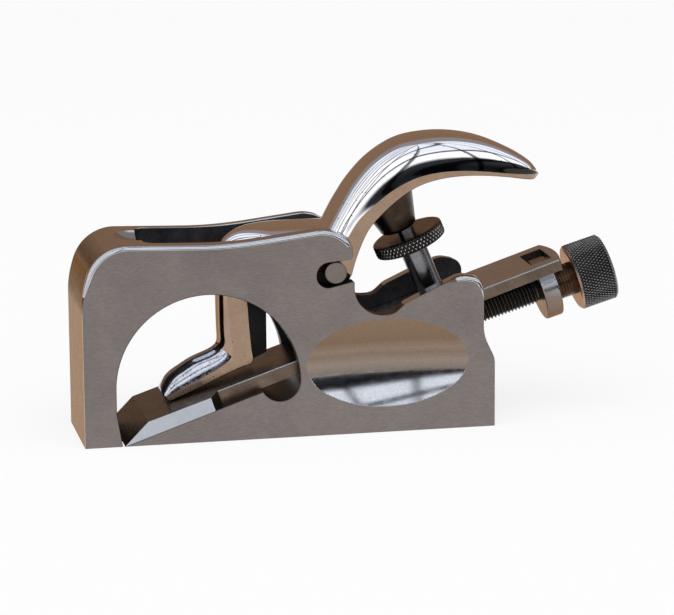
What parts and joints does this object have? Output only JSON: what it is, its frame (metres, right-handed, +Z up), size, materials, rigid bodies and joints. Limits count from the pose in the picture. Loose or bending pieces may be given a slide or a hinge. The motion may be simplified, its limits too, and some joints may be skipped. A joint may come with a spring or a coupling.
{
  "type": "bullnose plane",
  "caption": "Short-nosed metal rebate plane with a low full-width iron, a curved pivoting lever cap tightened by a knurled screw, and a knurled depth adjuster.",
  "frame": {"origin": "centre of the sole", "axes": "+X towards the heel and the adjuster knob, +Y across the plane to its far cheek, +Z up from the sole"},
  "size_m": [0.1359, 0.027, 0.0719],
  "materials": {
    "ground_body": "fine-ground sides, polished toe and top, rough inside",
    "ground_iron": "ground, with a light brown patina",
    "polished_lever": "mirror polished, sides satin",
    "ground_pin": "ground",
    "dark_screw": "gunmetal grey, turned",
    "dark_knurl": "gunmetal grey, diamond knurl on the rim",
    "black_thread": "dark, cut thread",
    "bright_collar": "turned, satin",
    "knurled_knob": "gunmetal grey, diamond knurl"
  },
  "bodies": {
    "stock": {"body": "ground_body"},
    "blade": {"iron": "ground_iron"},
    "lever": {"lever_cap": "polished_lever", "fulcrum_pin": "ground_pin"},
    "clamp": {"clamp_screw": "dark_screw"},
    "wheel": {"clamp_wheel": "dark_knurl"},
    "carriage": {"adjuster_collar": "bright_collar"},
    "knob": {"adjuster_screw": "black_thread", "adjuster_knob": "knurled_knob"}
  },
  "joints": [
    {"name": "lever_tilt", "type": "hinge", "parent": "stock", "child": "lever", "pos_m": [0.01124, 0, 0.04024], "axis": [0, 1, 0], "range_deg": [0, 3.82]},
    {"name": "clamp_travel", "type": "slide", "parent": "lever", "child": "clamp", "axis": [-0.3859, 0, 0.9225], "range_m": [0, 0.00147]},
    {"name": "wheel_turn", "type": "hinge", "parent": "clamp", "child": "wheel", "pos_m": [0.0322, 0, 0.04533], "axis": [-0.3859, 0, 0.9225], "range_deg": [0, 662]},
    {"name": "adjuster_travel", "type": "slide", "parent": "stock", "child": "carriage", "axis": [0.9578, 0, 0.2874], "range_m": [-0.0003, 0.006]},
    {"name": "knob_turn", "type": "hinge", "parent": "carriage", "child": "knob", "pos_m": [0.06485, 0, 0.03069], "axis": [0.9578, 0, 0.2874], "range_deg": [-119.2, 2381.8]},
    {"name": "iron_slide", "type": "slide", "parent": "stock", "child": "blade", "axis": [0.9461, 0, 0.3239], "range_m": [-0.0003, 0.006]}
  ],
  "couplings": [
    {"joint": "wheel_turn", "follows": "clamp_travel", "rad_per_m": 7854},
    {"joint": "lever_tilt", "follows": "clamp_travel", "rad_per_m": 45.249},
    {"joint": "knob_turn", "follows": "adjuster_travel", "rad_per_m": 6927.4},
    {"joint": "iron_slide", "follows": "adjuster_travel", "ratio": 0.99926}
  ]
}
